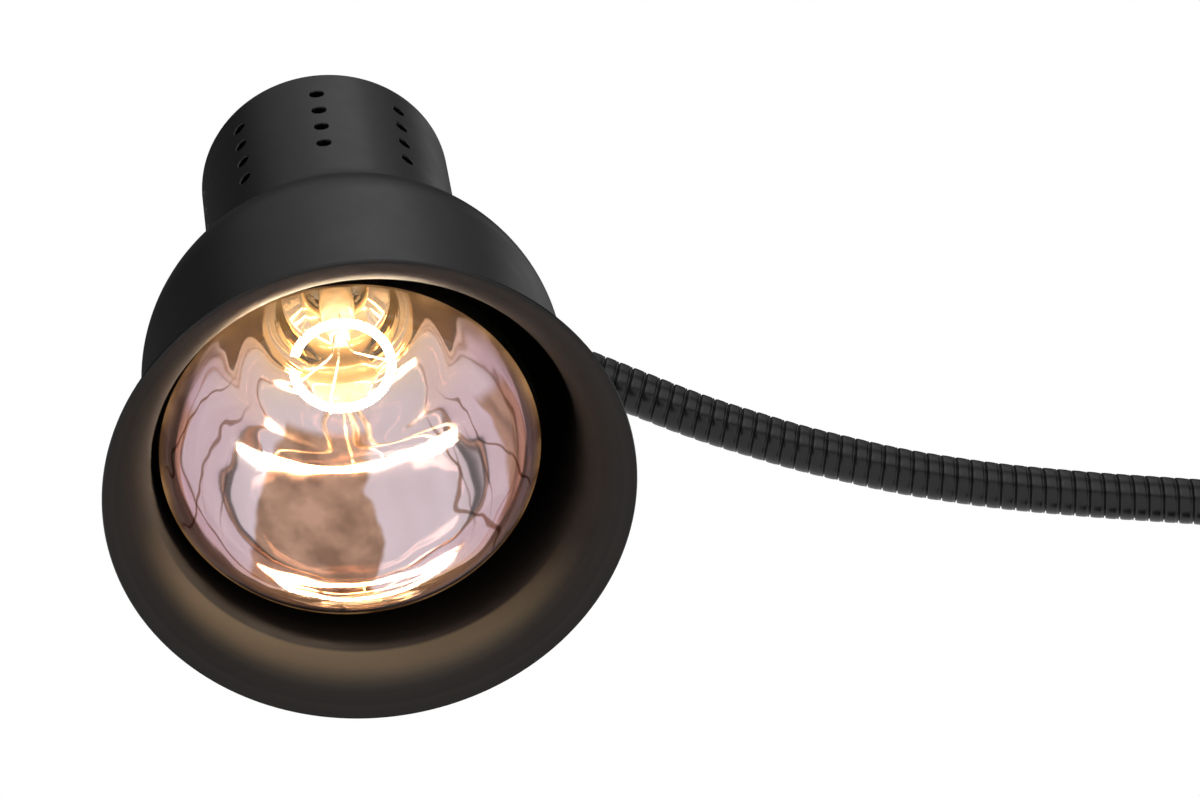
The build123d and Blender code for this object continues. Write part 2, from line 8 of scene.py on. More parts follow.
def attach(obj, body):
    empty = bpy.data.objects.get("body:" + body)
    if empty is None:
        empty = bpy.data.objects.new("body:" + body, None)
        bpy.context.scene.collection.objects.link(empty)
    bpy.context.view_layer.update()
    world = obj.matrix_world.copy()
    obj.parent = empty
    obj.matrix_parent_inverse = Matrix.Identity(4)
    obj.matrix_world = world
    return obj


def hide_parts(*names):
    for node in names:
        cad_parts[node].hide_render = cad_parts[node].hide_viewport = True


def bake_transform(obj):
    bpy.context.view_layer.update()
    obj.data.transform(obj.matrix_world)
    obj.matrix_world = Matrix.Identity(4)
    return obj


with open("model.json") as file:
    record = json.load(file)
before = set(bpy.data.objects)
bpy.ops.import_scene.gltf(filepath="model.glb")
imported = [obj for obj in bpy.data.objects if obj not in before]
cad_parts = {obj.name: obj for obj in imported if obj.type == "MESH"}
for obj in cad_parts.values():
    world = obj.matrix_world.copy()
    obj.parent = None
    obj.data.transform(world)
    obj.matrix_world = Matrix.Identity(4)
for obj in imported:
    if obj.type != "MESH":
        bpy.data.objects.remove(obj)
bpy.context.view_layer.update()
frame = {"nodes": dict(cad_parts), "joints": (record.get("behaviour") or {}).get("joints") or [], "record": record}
NODES = frame["nodes"]

# ---------------------------------------------------------------- dimensions, in metres
# the head's place: its axis leans HEAD_TILT from upright, towards HEAD_HEADING
RIM_CENTRE = Vector((-0.3937, -0.2995, 0.4448))
HEAD_TILT = radians(45.0)
HEAD_HEADING = radians(99.4)
LAMP_LEAN = radians(1.4)   # of the bulb in the shade

# the shade; heights (_H) are from the rim's plane along the axis
RIM_R = 0.0865
BODY_R = 0.0709
BODY_H = 0.0768
SHOULDER_R = 0.051
SLOPE = radians(29.5)
COVE_R = 0.031
NECK_R = 0.0441
SHADE_H = 0.217
NECK_EDGE_R = 0.003
SHADE_WALL = 0.001
LIP_SWEEP = radians(65.0)
LIP_R = (RIM_R - BODY_R) / (1 - cos(LIP_SWEEP))
LIP_H = (LIP_R + SHADE_WALL) * sin(LIP_SWEEP)
SLOPE_L = (BODY_R - NECK_R - (SHOULDER_R + COVE_R) * (1 - cos(SLOPE))) / sin(SLOPE)
NECK_FOOT_H = BODY_H + (SHOULDER_R + COVE_R) * sin(SLOPE) + SLOPE_L * cos(SLOPE)
TOP_HOLE_R = 0.00505
VENT_R = 0.0026
VENT_COLUMNS = 9
VENT_PHASE = radians(9.6)
VENT_ROWS = 4
VENT_PITCH = 0.0124
VENT_FIRST_H = 0.1631
CELL = 8              # mesh squares across one vent's patch
VENT_FOOT = VENT_FIRST_H - VENT_PITCH / 2
VENT_HEAD = VENT_FOOT + VENT_PITCH * VENT_ROWS
LIT_BAND_TOP_H = 0.0175   # painted light on the lip: its sharp upper edge, where the silvering's shadow ends, and where it has faded
LIT_BAND_FADED_H = 0.004

# the bulb; angles are about its axis, from straight down the slope
BULB_R = 0.0632
BULB_SHOULDER_H = 0.0324
DOME_RISE = 0.028
DOME_FULLNESS = 0.58
GLASS_WALL = 0.0009
BULB_NECK_R = 0.0215
BULB_NECK_H = 0.126
BULB_END_R = 0.0112
BULB_END_H = 0.146
PAINTED_GLOW_H = 0.019   # painted glow: the clear glass is given amber colour and emission from here to the silvering
SILVER_H = 0.0275     # the silvering starts here
REFLECTION_PATCH_MIDDLE = 0.13   # painted reflection, an amber patch on the mirror: angle, half width, first and last height
REFLECTION_PATCH_HALF = 0.40
REFLECTION_PATCH_H0 = 0.036
REFLECTION_PATCH_H1 = 0.098
REFLECTED_LINES = [(1.02, 0.022), (1.30, 0.014), (-0.95, 0.022), (-1.28, 0.014)]   # painted reflections, brown lines on the mirror: angle, half width
PAINTED_GOLD_H0 = 0.094       # painted light: the lining turns gold between these heights
PAINTED_GOLD_H1 = 0.122
FILAMENT_R = 0.0165
FILAMENT_H = 0.084
FILAMENT_SWEEP = radians(338)
COIL_TURNS = 74
COIL_R = 0.0011
WIRE_R = 0.00042

# the flexible neck
NECK_TUBE_R = 0.0087
NECK_TURN = 0.00565   # pitch of the wound tube
NECK_START_H = 0.2285
NECK_FIRST_CORNER_H = 0.2945
NECK_CORNERS = [
    (-0.4136, -0.0198, 0.5986),
    (-0.2818, -0.0095, 0.5473),
    (-0.2435, -0.0075, 0.5358),
    (-0.2053, -0.0055, 0.5271),
    (-0.1670, -0.0040, 0.5216),
    (-0.1288, -0.0030, 0.5184),
    (0.0, 0.0, 0.5105),
    (0.0, 0.0, 0.4201),
]
# the radius of the bend at each corner, from the one straight behind the head
NECK_BENDS = [0.060, 0.062, 0.350, 0.330, 0.350, 0.500, 0.900, 0.084]
PIVOT_SPACING = 0.100
FIRST_PIVOT = 0.058
PIVOT_CALM = 0.014    # length taken off a stretch's ends next to its cuts
END_CALM = 0.020      # and next to the fittings at the neck's ends


# ---------------------------------------------------------------- places
def local_frame(origin, axis):
    """Z along `axis`, X down its slope and Y level, at `origin`."""
    z = Vector(axis).normalized()
    y = Vector((0, 0, 1)).cross(z).normalized()
    x = y.cross(z)
    matrix = Matrix((x, y, z)).transposed().to_4x4()
    matrix.translation = origin
    return matrix


HEAD_AXIS = Vector((sin(HEAD_TILT) * cos(HEAD_HEADING),
                    sin(HEAD_TILT) * sin(HEAD_HEADING),
                    cos(HEAD_TILT)))
HEAD = local_frame(RIM_CENTRE, HEAD_AXIS)
NECK_TOP = HEAD @ Vector((0, 0, SHADE_H))
LAMP_AXIS = Matrix.Rotation(LAMP_LEAN, 3, HEAD.col[0].xyz) @ HEAD_AXIS
LAMP = local_frame(NECK_TOP - LAMP_AXIS * SHADE_H, LAMP_AXIS)


# ---------------------------------------------------------------- mesh helpers
def placed(points, matrix):
    m = np.array(matrix)
    return points @ m[:3, :3].T + m[:3, 3]


def piece(name, points, faces, body, materials, replaces=(), marks=None, matrix=None):
    """A smooth-shaded mesh piece; `marks` gives each face its material's place in the list."""
    if matrix is not None:
        points = placed(np.asarray(points, float), matrix)
    mesh = bpy.data.meshes.new(name)
    mesh.from_pydata([tuple(p) for p in points], [], [tuple(f) for f in faces])
    mesh.validate()
    mesh.polygons.foreach_set("use_smooth", [True] * len(mesh.polygons))
    for material in materials:
        mesh.materials.append(material)
    if marks is not None:
        mesh.polygons.foreach_set("material_index", list(marks))
    mesh.update()
    obj = bpy.data.objects.new(name, mesh)
    bpy.context.scene.collection.objects.link(obj)
    if body:
        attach(obj, body)
    if replaces:
        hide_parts(*replaces)
    return obj


def bezier(a, b, c, d, count):
    t = np.linspace(0, 1, count)[:, None]
    a, b, c, d = (np.array(p, float) for p in (a, b, c, d))
    return (1 - t) ** 3 * a + 3 * t * (1 - t) ** 2 * b + 3 * t ** 2 * (1 - t) * c + t ** 3 * d


def turned(profile, around, closed=False):
    """Points and quads of an (r, h) profile turned about Z."""
    profile = np.asarray(profile, float)
    angles = np.linspace(0, 2 * pi, around, endpoint=False)
    r = profile[:, 0][:, None]
    points = np.stack([r * np.cos(angles), r * np.sin(angles),
                       np.repeat(profile[:, 1][:, None], around, 1)], -1).reshape(-1, 3)
    rows = len(profile)
    faces = []
    for i in range(rows if closed else rows - 1):
        k = (i + 1) % rows
        for j in range(around):
            n = (j + 1) % around
            faces.append((i * around + j, i * around + n, k * around + n, k * around + j))
    return points, faces


# ---------------------------------------------------------------- shade
def arc(centre, radius, start, end, count):
    turn = np.linspace(start, end, count)
    return np.stack([centre[0] + radius * np.cos(turn), centre[1] + radius * np.sin(turn)], -1)


def shade_line(inset):
    """(r, h) of one side of the shade's wall from the rim to the neck, `inset` in from the outside."""
    lip = arc((BODY_R + LIP_R, LIP_H), LIP_R + inset, pi + LIP_SWEEP, pi, 28)
    shoulder = arc((BODY_R - SHOULDER_R, BODY_H), SHOULDER_R - inset, 0, SLOPE, 22)
    cove = arc((NECK_R + COVE_R, NECK_FOOT_H), COVE_R + inset, pi + SLOPE, pi, 18)
    blank = np.linspace(lip[-1], shoulder[0], 14)[1:-1]
    slope = np.linspace(shoulder[-1], cove[0], 14)[1:-1]
    return np.concatenate([lip, blank, shoulder, slope, cove])


def skin_rows(inset):
    """The wall's (r, h) rows below, between and above the vents, and where the vents start."""
    r = NECK_R - inset
    low = list(shade_line(inset)) + [(r, h) for h in np.linspace(NECK_FOOT_H, VENT_FOOT, 6)[1:]]
    cells = [(r, h) for h in np.linspace(VENT_FOOT, VENT_HEAD, CELL * VENT_ROWS + 1)[1:-1]]
    high = [(r, h) for h in np.linspace(VENT_HEAD, SHADE_H - NECK_EDGE_R, 5)]
    return low + cells + high, len(low) - 1


def skin(inset, sides):
    """One side of the shade, with its vents: points, quads, first and last row, vent edges."""
    half = VENT_PITCH / 2 / NECK_R
    step = 2 * pi / VENT_COLUMNS
    per = sides // VENT_COLUMNS
    gap = np.linspace(half, step - half, per - CELL + 1)[1:-1]
    one = np.concatenate([np.linspace(-half, half, CELL + 1), gap])
    angles = np.concatenate([VENT_PHASE + k * step + one for k in range(VENT_COLUMNS)])
    rows, start = skin_rows(inset)
    points = [(r * cos(a), r * sin(a), h) for r, h in rows for a in angles]
    count = len(angles)
    inside = set()
    for column in range(VENT_COLUMNS):
        for row in range(VENT_ROWS):
            for i in range(CELL):
                for j in range(CELL):
                    inside.add((start + row * CELL + i, column * per + j))
    faces = []
    for i in range(len(rows) - 1):
        for j in range(count):
            if (i, j) not in inside:
                n = (j + 1) % count
                faces.append((i * count + j, i * count + n, (i + 1) * count + n, (i + 1) * count + j))
    holes = []
    for column in range(VENT_COLUMNS):
        for row in range(VENT_ROWS):
            i0 = start + row * CELL
            j0 = column * per
            ring = [(i0, j0 + k) for k in range(CELL)]
            ring += [(i0 + k, j0 + CELL) for k in range(CELL)]
            ring += [(i0 + CELL, j0 + CELL - k) for k in range(CELL)]
            ring += [(i0 + CELL - k, j0) for k in range(CELL)]
            border = [i * count + j % count for i, j in ring]
            centre_a = VENT_PHASE + column * step
            centre_h = VENT_FIRST_H + row * VENT_PITCH
            previous = border
            for share in (0.45, 0.75, 0.92, 1.0):
                circle = []
                for k, b in enumerate(border):
                    turn = -3 * pi / 4 + 2 * pi * k / len(border)
                    target_x = VENT_R * cos(turn) / NECK_R
                    target_h = VENT_R * sin(turn)
                    x, y, h = points[b]
                    angle = np.arctan2(y, x) - centre_a
                    angle = (angle + pi) % (2 * pi) - pi
                    angle = angle + (target_x - angle) * share
                    height = h + (centre_h + target_h - h) * share
                    r = NECK_R - inset
                    circle.append(len(points))
                    points.append((r * cos(centre_a + angle), r * sin(centre_a + angle), height))
                for k in range(len(border)):
                    n = (k + 1) % len(border)
                    faces.append((previous[k], previous[n], circle[n], circle[k]))
                previous = circle
            holes.append(previous)
    last = (len(rows) - 1) * count
    return points, faces, holes, list(range(count)), [last + j for j in range(count)]


def neck_cap(inset):
    """Profile over the rounded edge of the neck top and in to the fitting's hole."""
    centre = (NECK_R - NECK_EDGE_R, SHADE_H - NECK_EDGE_R)
    edge = [tuple(p) for p in arc(centre, NECK_EDGE_R - inset, 0, pi / 2, 9)[1:]]
    flat = [(r, SHADE_H - inset) for r in (0.036, 0.026, 0.015, 0.009, TOP_HOLE_R)]
    return edge + flat


def build_shade(outer_material, inner_material):
    """The spun wall: an outer and an inner skin, joined at the rim, the neck's top and each vent."""
    sides = 20 * VENT_COLUMNS
    points, faces, marks = [], [], []
    rims, tops, holes = [], [], []
    for inset, mark in ((0.0, 0), (SHADE_WALL, 1)):
        p, f, h, first, last = skin(inset, sides)
        base = len(points)
        points += p
        flip = mark == 1
        for q in f:
            q = tuple(base + v for v in q)
            faces.append(q[::-1] if flip else q)
            marks.append(mark)
        row = [base + v for v in last]
        angles = [np.arctan2(points[v][1], points[v][0]) for v in row]
        for r, height in neck_cap(inset):
            new = []
            for a in angles:
                new.append(len(points))
                points.append((r * cos(a), r * sin(a), height))
            for j in range(sides):
                n = (j + 1) % sides
                q = (row[j], row[n], new[n], new[j])
                faces.append(q[::-1] if flip else q)
                marks.append(mark)
            row = new
        rims.append([base + v for v in first])
        tops.append(row)
        holes.append([[base + v for v in ring] for ring in h])
    joins = [(rims[1], rims[0]), (tops[0], tops[1])] + list(zip(holes[0], holes[1]))
    for a, b in joins:
        for j in range(len(a)):
            n = (j + 1) % len(a)
            faces.append((a[j], a[n], b[n], b[j]))
            marks.append(0)
    piece("shade_shell", points, faces, "head", [outer_material, inner_material],
          ["shade"], marks, HEAD)


# ---------------------------------------------------------------- bulb
def bulb_profile(inset):
    """(r, h) from the dome's apex to the open end of the bulb's neck."""
    shoulder = BULB_R - inset
    front = BULB_SHOULDER_H - DOME_RISE + inset
    dome = bezier((0.00001, front), (DOME_FULLNESS * shoulder, front),
                  (shoulder, BULB_SHOULDER_H - DOME_FULLNESS * (DOME_RISE - inset)),
                  (shoulder, BULB_SHOULDER_H), 40)
    flank = bezier((shoulder, BULB_SHOULDER_H), (shoulder, 0.052), (0.044 - inset, 0.078),
                   (0.0375 - inset, 0.0915), 30)
    tail = bezier((0.0375 - inset, 0.0915), (0.0315 - inset, 0.104), (BULB_NECK_R - inset, 0.112),
                  (BULB_NECK_R - inset, BULB_NECK_H), 16)
    stem = [(0.0201 - inset, 0.1312), (0.0190 - inset, 0.1328), (0.0125 - inset, 0.1358),
            (BULB_END_R - inset, 0.1372), (BULB_END_R - inset, BULB_END_H)]
    return np.concatenate([dome, flank[1:], tail[1:], stem])


def build_bulb(clear, silver, mirror):
    """The clear front, the silvered back and the mirror that lines it."""
    outer = bulb_profile(0.0)
    inner = bulb_profile(GLASS_WALL)
    split = np.searchsorted(outer[:, 1], SILVER_H)
    split_in = np.searchsorted(inner[:, 1], SILVER_H)
    points, faces = turned(outer[: split + 1], 128)
    piece("bulb_front_glass", points, faces, "bulb", [clear], matrix=LAMP)
    points, faces = turned(outer[split:], 128)
    piece("bulb_back_glass", points, faces, "bulb", [silver], ["bulb_glass"], matrix=LAMP)
    points, faces = turned(inner[split_in:], 128)
    faces = [f[::-1] for f in faces]
    piece("bulb_mirror_lining", points, faces, "bulb", [mirror], matrix=LAMP)


def build_filament(glow):
    """The coiled wire, most of a ring round the lamp's axis."""
    t = np.linspace(0, 1, COIL_TURNS * 14 + 1)
    ring = -FILAMENT_SWEEP / 2 - pi / 2 + FILAMENT_SWEEP * t
    twist = 2 * pi * COIL_TURNS * t
    out = FILAMENT_R + COIL_R * np.cos(twist)
    line = np.stack([out * np.cos(ring), out * np.sin(ring), FILAMENT_H + COIL_R * np.sin(twist)], -1)
    points, faces = tube_along(line, WIRE_R, 8)
    piece("filament_coil", points, faces, "bulb", [glow], ["filament"], matrix=LAMP)


def tube_along(line, radius, around):
    """A round wire along a polyline of close points."""
    line = np.asarray(line, float)
    tangents = np.gradient(line, axis=0)
    tangents /= np.linalg.norm(tangents, axis=1)[:, None]
    side = np.cross(tangents[0], (0.3, 0.2, 0.9))
    side /= np.linalg.norm(side)
    points = []
    for p, t in zip(line, tangents):
        side = side - t * (side @ t)
        side /= np.linalg.norm(side)
        other = np.cross(t, side)
        for j in range(around):
            a = 2 * pi * j / around
            points.append(p + radius * (cos(a) * side + sin(a) * other))
    faces = []
    for i in range(len(line) - 1):
        for j in range(around):
            n = (j + 1) % around
            faces.append((i * around + j, i * around + n, (i + 1) * around + n, (i + 1) * around + j))
    faces.append(tuple(range(around))[::-1])
    last = (len(line) - 1) * around
    faces.append(tuple(last + j for j in range(around)))
    return points, faces


# ---------------------------------------------------------------- flexible neck
def neck_line(step):
    """Close points along the neck's centreline: straight runs joined by tangent arcs."""
    corners = [RIM_CENTRE + HEAD_AXIS * h for h in (NECK_START_H, NECK_FIRST_CORNER_H)]
    corners += [Vector(c) for c in NECK_CORNERS]
    stations = [corners[0]]
    for before, corner, after, radius in zip(corners, corners[1:], corners[2:], NECK_BENDS):
        u = (corner - before).normalized()
        w = (after - corner).normalized()
        turn = u.angle(w)
        start = corner - u * radius * tan(turn / 2)
        axis = u.cross(w).normalized()
        centre = start + axis.cross(u) * radius
        pieces = max(2, int(radius * turn / step))
        stations += [centre + Matrix.Rotation(turn * i / pieces, 3, axis) @ (start - centre)
                     for i in range(pieces + 1)]
    stations.append(corners[-1])
    rough = np.array([tuple(p) for p in stations])
    lengths = np.concatenate([[0], np.cumsum(np.linalg.norm(np.diff(rough, axis=0), axis=1))])
    even = np.linspace(0, lengths[-1], int(lengths[-1] / step) + 1)
    return np.stack([np.interp(even, lengths, rough[:, k]) for k in range(3)], -1), even


class Centreline:
    """Position and an untwisted cross frame at any length along the neck."""

    def __init__(self):
        self.points, self.s = neck_line(0.0005)
        tangents = np.gradient(self.points, axis=0)
        self.tangents = tangents / np.linalg.norm(tangents, axis=1)[:, None]
        side = np.cross(self.tangents[0], (0, 0, 1.0))
        sides = []
        for t in self.tangents:
            side = side - t * (side @ t)
            side = side / np.linalg.norm(side)
            sides.append(side)
        self.sides = np.array(sides)
        self.length = self.s[-1]

    def at(self, s):
        def read(table):
            return np.stack([np.interp(s, self.s, table[:, k]) for k in range(3)], -1)
        side = read(self.sides)
        tangent = read(self.tangents)
        return read(self.points), side, np.cross(tangent, side)


# (place in the pitch, depth below the crown in mm) of one turn of the strip-wound tube
TURN_PROFILE = [
    (0.000, 0.42), (0.030, 0.16), (0.080, 0.05), (0.200, 0.00), (0.380, 0.00), (0.540, 0.02),
    (0.680, 0.06), (0.735, 0.12), (0.760, 0.34), (0.785, 0.36), (0.805, 0.16), (0.840, 0.10),
    (0.875, 0.14), (0.905, 0.28), (0.925, 0.95), (0.975, 1.05),
]


def build_neck(material, centreline):
    """The wound tube as one helical strip, cut into a piece for each pivot."""
    around = 48
    profile = np.array(TURN_PROFILE)
    rows = len(profile)
    turns = int(centreline.length / NECK_TURN)
    steps = turns * around
    v = np.arange(steps + around + 1)
    s = NECK_TURN * (v[:, None] / around + profile[None, :, 0] - 1.0)
    s = np.clip(s, 0.0, centreline.length)
    radius = NECK_TUBE_R - profile[None, :, 1] * 0.001
    angle = 2 * pi * v[:, None] / around
    centre, side, other = centreline.at(s)
    outward = np.cos(angle)[..., None] * side + np.sin(angle)[..., None] * other
    grid = centre + radius[..., None] * outward
    joints = sorted((j for j in frame["joints"] if j["name"].startswith("neck_")),
                    key=lambda j: int(j["name"].split("_")[-1]))
    stops = [0.0]
    for i in range(len(joints) - 1):
        stops.append(FIRST_PIVOT + PIVOT_SPACING * (i + 0.5))
    stops.append(centreline.length)
    edges = [int(round(stop / NECK_TURN * around)) for stop in stops]
    edges[-1] = steps
    for i, joint in enumerate(joints):
        first, last = edges[i], edges[i + 1]
        used = {}
        points, faces = [], []

        def vertex(a, b):
            if b == rows:
                a, b = a + around, 0
            if (a, b) not in used:
                used[(a, b)] = len(points)
                points.append(grid[a, b])
            return used[(a, b)]

        for a in range(first, last):
            for b in range(rows):
                faces.append((vertex(a, b), vertex(a, b + 1), vertex(a + 1, b + 1), vertex(a + 1, b)))
        replaced = [f"gooseneck_{i}"] + (["gooseneck_6"] if i == len(joints) - 1 else [])
        tube = piece(f"neck_tube_{i}", points, faces, None, [material], replaced)
        start = stops[i] + (END_CALM if i == 0 else PIVOT_CALM)
        end = stops[i + 1] - (END_CALM if i == len(joints) - 1 else PIVOT_CALM)
        a, b = centreline.at(np.array([start, end]))[0]
        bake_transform(tube)


# ---------------------------------------------------------------- material helpers
def new_material(name):
    """A material with its node tree and its Principled shader."""
    material = bpy.data.materials.new(name)
    material.use_nodes = True
    tree = material.node_tree
    shader = tree.nodes["Principled BSDF"]
    return material, tree, shader


def node(tree, kind, **inputs):
    """A new node; each keyword is an input's value or else a property."""
    n = tree.nodes.new(kind)
    for key, value in inputs.items():
        if key in n.inputs:
            n.inputs[key].default_value = value
        else:
            setattr(n, key, value)
    return n


def noise(tree, scale, detail=4.0, stretch=(1, 1, 1), roughness=0.5):
    """Noise in the object's own space, in features per metre."""
    place = node(tree, "ShaderNodeTexCoord")
    mapping = node(tree, "ShaderNodeMapping")
    mapping.inputs["Scale"].default_value = stretch
    texture = node(tree, "ShaderNodeTexNoise", Scale=scale, Detail=detail, Roughness=roughness)
    tree.links.new(place.outputs["Object"], mapping.inputs["Vector"])
    tree.links.new(mapping.outputs["Vector"], texture.inputs["Vector"])
    return texture


def ramp(tree, source, stops):
    """Colours at places along a texture's value."""
    r = node(tree, "ShaderNodeValToRGB")
    elements = r.color_ramp.elements
    while len(elements) < len(stops):
        elements.new(0.5)
    for element, (place, colour) in zip(elements, stops):
        element.position = place
        element.color = (*colour, 1.0)
    tree.links.new(source.outputs["Fac"], r.inputs["Fac"])
    return r


def smooth_step(tree, value, low, high):
    """0 at `low` and 1 at `high`, with soft ends."""
    step = node(tree, "ShaderNodeMapRange", interpolation_type="SMOOTHSTEP")
    step.inputs["From Min"].default_value = low
    step.inputs["From Max"].default_value = high
    tree.links.new(value, step.inputs["Value"])
    return step.outputs["Result"]


def maths(tree, operation, a, b):
    n = node(tree, "ShaderNodeMath", operation=operation)
    for place, value in zip(n.inputs, (a, b)):
        if isinstance(value, (int, float)):
            place.default_value = value
        else:
            tree.links.new(value, place)
    return n.outputs["Value"]


def blend_colour(tree, first, second, factor):
    """From `first` to `second`; each is a colour or a colour output."""
    mix = node(tree, "ShaderNodeMix", data_type="RGBA")
    sockets = [s for s in mix.inputs if s.type == "RGBA"]
    for socket, value in zip(sockets, (first, second)):
        if isinstance(value, tuple):
            socket.default_value = (*value, 1.0)
        else:
            tree.links.new(value, socket)
    tree.links.new(factor, mix.inputs["Factor"])
    return [s for s in mix.outputs if s.type == "RGBA"][0]


def bump(tree, shader, source, strength, distance):
    b = node(tree, "ShaderNodeBump", Strength=strength, Distance=distance)
    tree.links.new(source.outputs["Fac"], b.inputs["Height"])
    tree.links.new(b.outputs["Normal"], shader.inputs["Normal"])


def uneven_gloss(tree, shader, texture, low, high):
    """Roughness that follows a texture; `low` and `high` are (place, roughness)."""
    gloss = ramp(tree, texture, [(place, (roughness,) * 3) for place, roughness in (low, high)])
    tree.links.new(gloss.outputs["Color"], shader.inputs["Roughness"])


def coated(name, colour, spread, roughness, grain_scale, grain_depth):
    """Powder coat or paint: two close colours, uneven gloss and a fine orange peel."""
    material, tree, shader = new_material(name)
    cloud = noise(tree, 35.0, 3.0)
    dark = tuple(c * (1 - spread) for c in colour)
    light = tuple(c * (1 + spread) for c in colour)
    tint = ramp(tree, cloud, [(0.35, dark), (0.65, light)])
    tree.links.new(tint.outputs["Color"], shader.inputs["Base Color"])
    uneven_gloss(tree, shader, noise(tree, 90.0, 4.0), (0.3, roughness * 0.9), (0.7, roughness * 1.12))
    bump(tree, shader, noise(tree, grain_scale, 2.0), 0.25, grain_depth)
    return material


def metal(name, colour, roughness, scale, stretch=(1, 1, 1), depth=0.00003):
    """Bare metal with a grain in its colour, gloss and surface."""
    material, tree, shader = new_material(name)
    shader.inputs["Metallic"].default_value = 1.0
    grain = noise(tree, scale, 5.0, stretch)
    dark = tuple(c * 0.82 for c in colour)
    tint = ramp(tree, grain, [(0.3, dark), (0.7, colour)])
    tree.links.new(tint.outputs["Color"], shader.inputs["Base Color"])
    uneven_gloss(tree, shader, grain, (0.25, roughness * 0.8), (0.75, roughness * 1.25))
    bump(tree, shader, grain, 0.3, depth)
    return material


def moulded(name, colour, roughness, scale=600.0, depth=0.00004):
    """Plastic, rubber or glaze: one colour, slightly cloudy, with a fine skin."""
    material, tree, shader = new_material(name)
    tint = ramp(tree, noise(tree, 60.0, 3.0), [(0.3, tuple(c * 0.9 for c in colour)), (0.7, colour)])
    tree.links.new(tint.outputs["Color"], shader.inputs["Base Color"])
    uneven_gloss(tree, shader, noise(tree, 150.0, 3.0), (0.3, roughness * 0.9), (0.7, roughness * 1.1))
    bump(tree, shader, noise(tree, scale, 2.0), 0.2, depth)
    return material


# ---------------------------------------------------------------- materials
def shade_inside():
    """Dark bare inside of the spun bell: fine turning lines, and painted light on the lip where the bulb shines on
    it.
    """
    material, tree, shader = new_material("shade_inside_dark")
    down, _, height = own_axes(tree, HEAD)
    lines = node(tree, "ShaderNodeTexNoise", Scale=900.0, Detail=3.0)
    joined = node(tree, "ShaderNodeCombineXYZ")
    tree.links.new(height, joined.inputs["X"])
    tree.links.new(joined.outputs["Vector"], lines.inputs["Vector"])
    dark = ramp(tree, lines, [(0.3, (0.008, 0.0058, 0.0050)), (0.7, (0.016, 0.0115, 0.0095))])
    # painted light: a straw-coloured band on the lower side, where the bulb lights the lip below the silvering's
    # shadow
    painted_light_band = maths(tree, "MULTIPLY", smooth_step(tree, height, LIT_BAND_TOP_H + 0.0007, LIT_BAND_TOP_H - 0.0007),
                 smooth_step(tree, height, LIT_BAND_FADED_H, LIT_BAND_TOP_H - 0.005))
    painted_light_band = maths(tree, "MULTIPLY", painted_light_band, smooth_step(tree, down, 0.015, 0.060))
    tint = blend_colour(tree, dark.outputs["Color"], (0.095, 0.070, 0.042), painted_light_band)
    tree.links.new(tint, shader.inputs["Base Color"])
    shader.inputs["Roughness"].default_value = 0.50
    shader.inputs["Specular IOR Level"].default_value = 0.32
    bump(tree, shader, lines, 0.3, 0.00004)
    return material


def own_axes(tree, matrix):
    """How far down the slope, to the left and up the axis of HEAD or LAMP a point lies."""
    place = node(tree, "ShaderNodeTexCoord")
    offset = node(tree, "ShaderNodeVectorMath", operation="SUBTRACT")
    offset.inputs[1].default_value = tuple(matrix.translation)
    tree.links.new(place.outputs["Object"], offset.inputs[0])
    values = []
    for axis in matrix.col[:3]:
        dot = node(tree, "ShaderNodeVectorMath", operation="DOT_PRODUCT")
        dot.inputs[1].default_value = tuple(axis.xyz)
        tree.links.new(offset.outputs["Vector"], dot.inputs[0])
        values.append(dot.outputs["Value"])
    return values


def clear_glass():
    """Thin clear glass with a faint gloss; its edge, next to the silvering, has a painted amber glow."""
    material, tree, shader = new_material("bulb_clear_glass")
    shader.inputs["Metallic"].default_value = 1.0
    shader.inputs["Roughness"].default_value = 0.03
    height = own_axes(tree, LAMP)[2]
    # painted glow: amber colour and streaked emission near the silvering stand in for the filament's light
    edge = smooth_step(tree, height, PAINTED_GLOW_H, SILVER_H)
    colour = blend_colour(tree, (1.0, 0.97, 0.95), (0.85, 0.55, 0.30), edge)
    tree.links.new(colour, shader.inputs["Base Color"])
    painted_glow_streak = ramp(tree, noise(tree, 55.0, 3.0),
                  [(0.35, (0.15, 0.06, 0.015)), (0.70, (0.80, 0.42, 0.16))])
    tree.links.new(blend_colour(tree, (0.0, 0.0, 0.0), painted_glow_streak.outputs["Color"], edge),
                   shader.inputs["Emission Color"])
    shader.inputs["Emission Strength"].default_value = 0.6
    through = node(tree, "ShaderNodeBsdfTransparent")
    mix = node(tree, "ShaderNodeMixShader")
    share = maths(tree, "ADD", maths(tree, "MULTIPLY", edge, 0.70), 0.05)
    tree.links.new(share, mix.inputs["Fac"])
    tree.links.new(through.outputs["BSDF"], mix.inputs[1])
    tree.links.new(shader.outputs["BSDF"], mix.inputs[2])
    tree.links.new(mix.outputs["Shader"], tree.nodes["Material Output"].inputs["Surface"])
    return material


def stem_glass():
    """The clear glass of the stem, as a slightly warm polished solid."""
    material, tree, shader = new_material("stem_glass")
    shader.inputs["Metallic"].default_value = 0.6
    shader.inputs["Roughness"].default_value = 0.08
    tint = ramp(tree, noise(tree, 160.0, 3.0), [(0.3, (0.82, 0.70, 0.52)), (0.7, (1.0, 0.94, 0.84))])
    tree.links.new(tint.outputs["Color"], shader.inputs["Base Color"])
    return material


